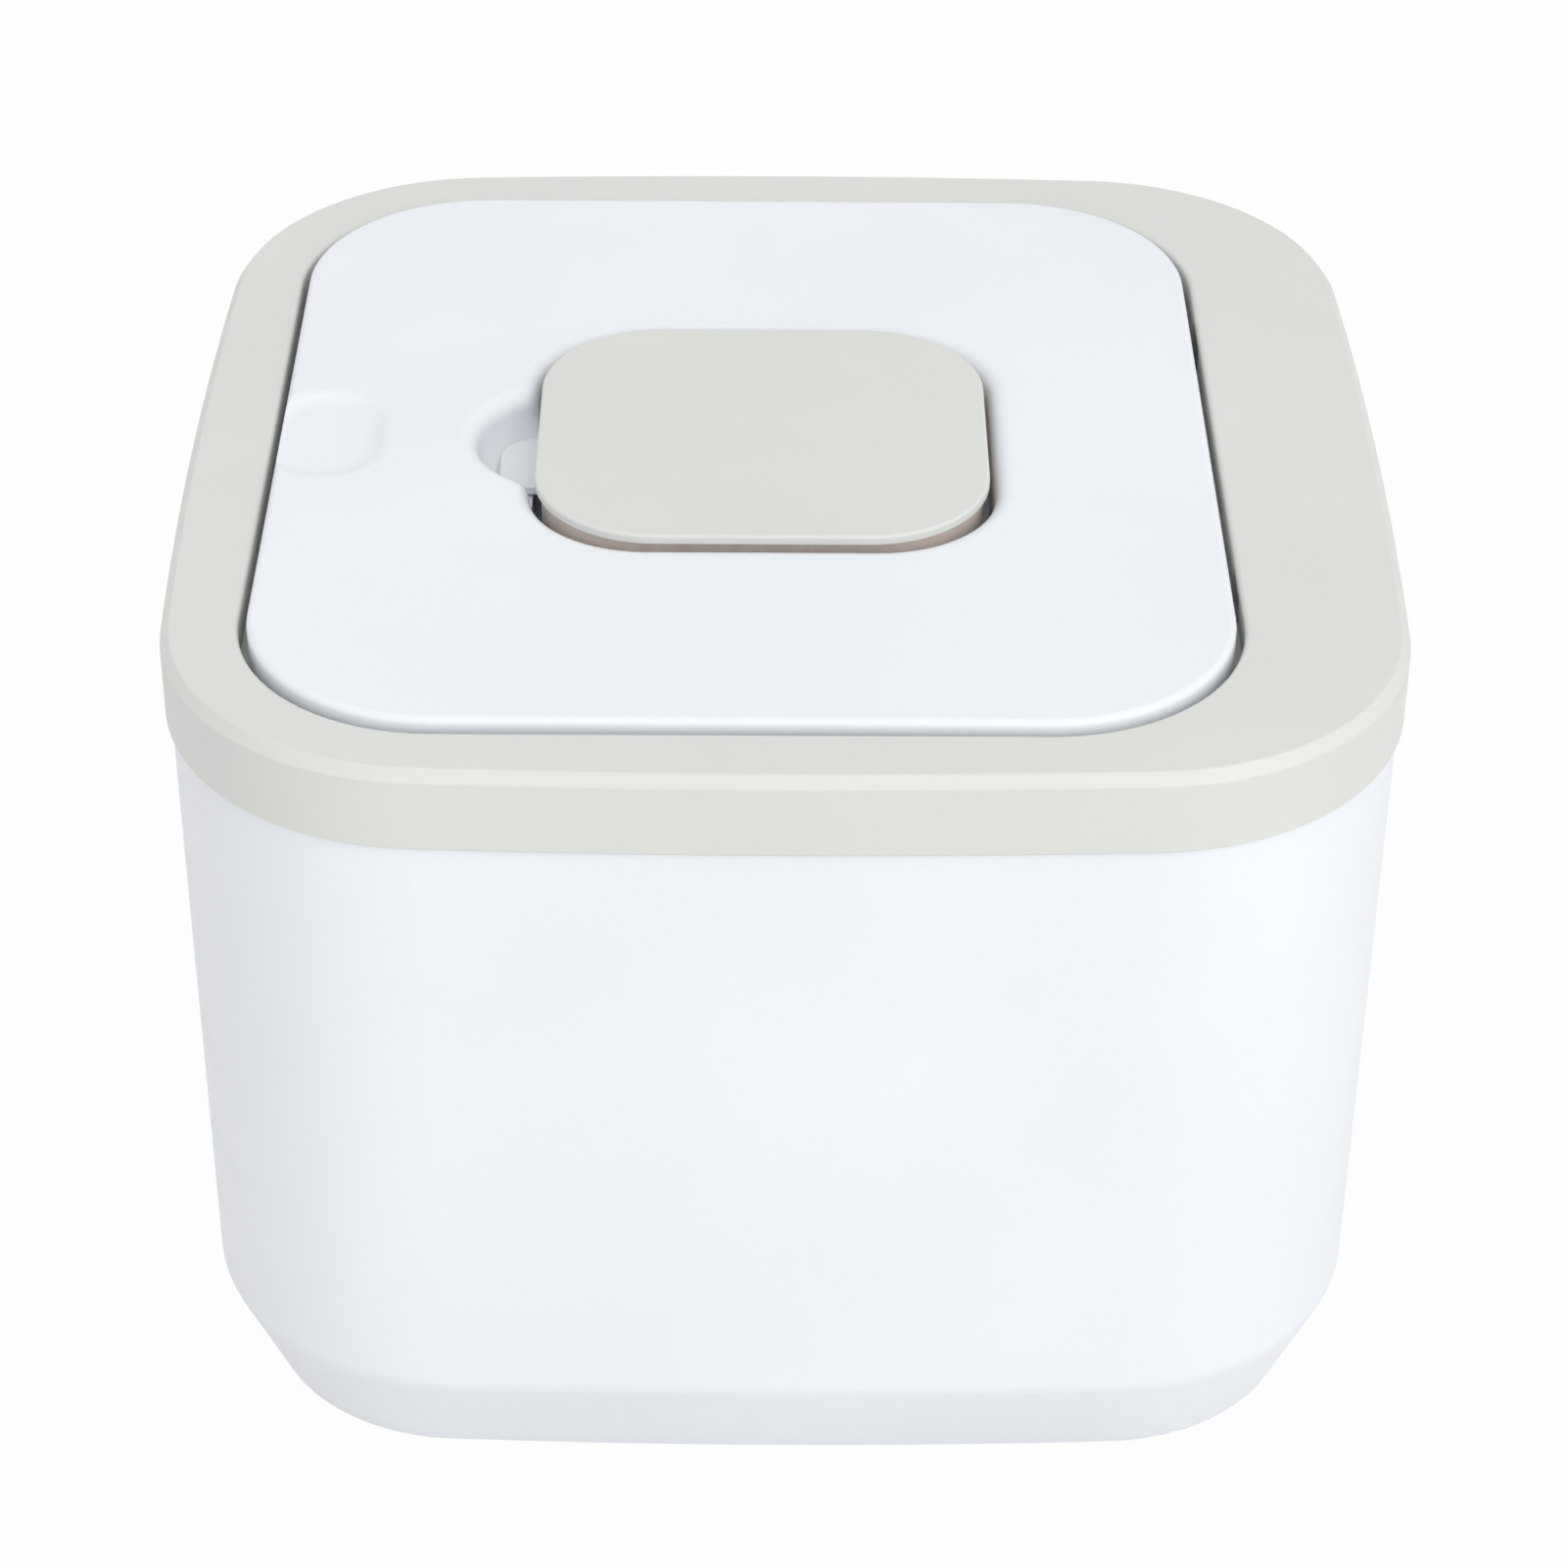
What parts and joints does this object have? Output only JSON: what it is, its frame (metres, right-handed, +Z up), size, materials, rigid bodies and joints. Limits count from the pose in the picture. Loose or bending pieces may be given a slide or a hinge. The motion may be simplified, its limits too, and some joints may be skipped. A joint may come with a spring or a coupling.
{
  "type": "rice storage container",
  "caption": "Square rice bin with a lift-off lid frame, a press-to-open hinged flip lid and a lift-out repellent box under a cap in the lid.",
  "frame": {"origin": "middle of the base on the standing surface", "axes": "+Z up, -Y the front as pictured, +X the hinge side of the flip lid"},
  "size_m": [0.26, 0.26, 0.1919],
  "materials": {
    "bin_white": "satin",
    "frame_grey": "satin",
    "lid_white": "satin",
    "liner_white": "satin",
    "box_white": "satin",
    "cap_grey": "satin",
    "latch_grey": "satin",
    "seal": "matt",
    "steel": "drawn"
  },
  "bodies": {
    "bin": {"bin_body": "bin_white"},
    "lid_frame": {"lid_frame": "frame_grey", "frame_seal": "seal", "hinge_pin_front": "steel", "hinge_pin_rear": "steel", "hinge_spring_front": "steel", "hinge_spring_rear": "steel", "latch_housing": "latch_grey", "latch_follower": "steel", "latch_spring": "steel"},
    "flip_lid": {"flip_lid": "lid_white", "lid_liner": "liner_white", "lid_seal": "seal", "latch_striker": "latch_grey"},
    "latch_slider": {"latch_slider": "latch_grey"},
    "repellent_box": {"repellent_box": "box_white"},
    "repellent_cap": {"repellent_cap": "cap_grey"}
  },
  "joints": [
    {"name": "frame_lift", "type": "slide", "parent": "bin", "child": "lid_frame", "axis": [0, 0, 1], "range_m": [0, 0.06]},
    {"name": "lid_hinge", "type": "hinge", "parent": "lid_frame", "child": "flip_lid", "pos_m": [0.1008, 0, 0.1829], "axis": [0, 1, 0], "range_deg": [0, 100]},
    {"name": "latch_slide", "type": "slide", "parent": "lid_frame", "child": "latch_slider", "axis": [0, 0, 1], "range_m": [0, 0.004], "deforming": ["latch_spring"]},
    {"name": "box_lift", "type": "slide", "parent": "flip_lid", "child": "repellent_box", "axis": [0, 0, 1], "range_m": [0, 0.03]},
    {"name": "cap_lift", "type": "slide", "parent": "repellent_box", "child": "repellent_cap", "axis": [0, 0, 1], "range_m": [0, 0.02]}
  ],
  "couplings": [
    {"joint": "latch_slide", "follows": "lid_hinge", "m_per_rad": 0.00229}
  ]
}
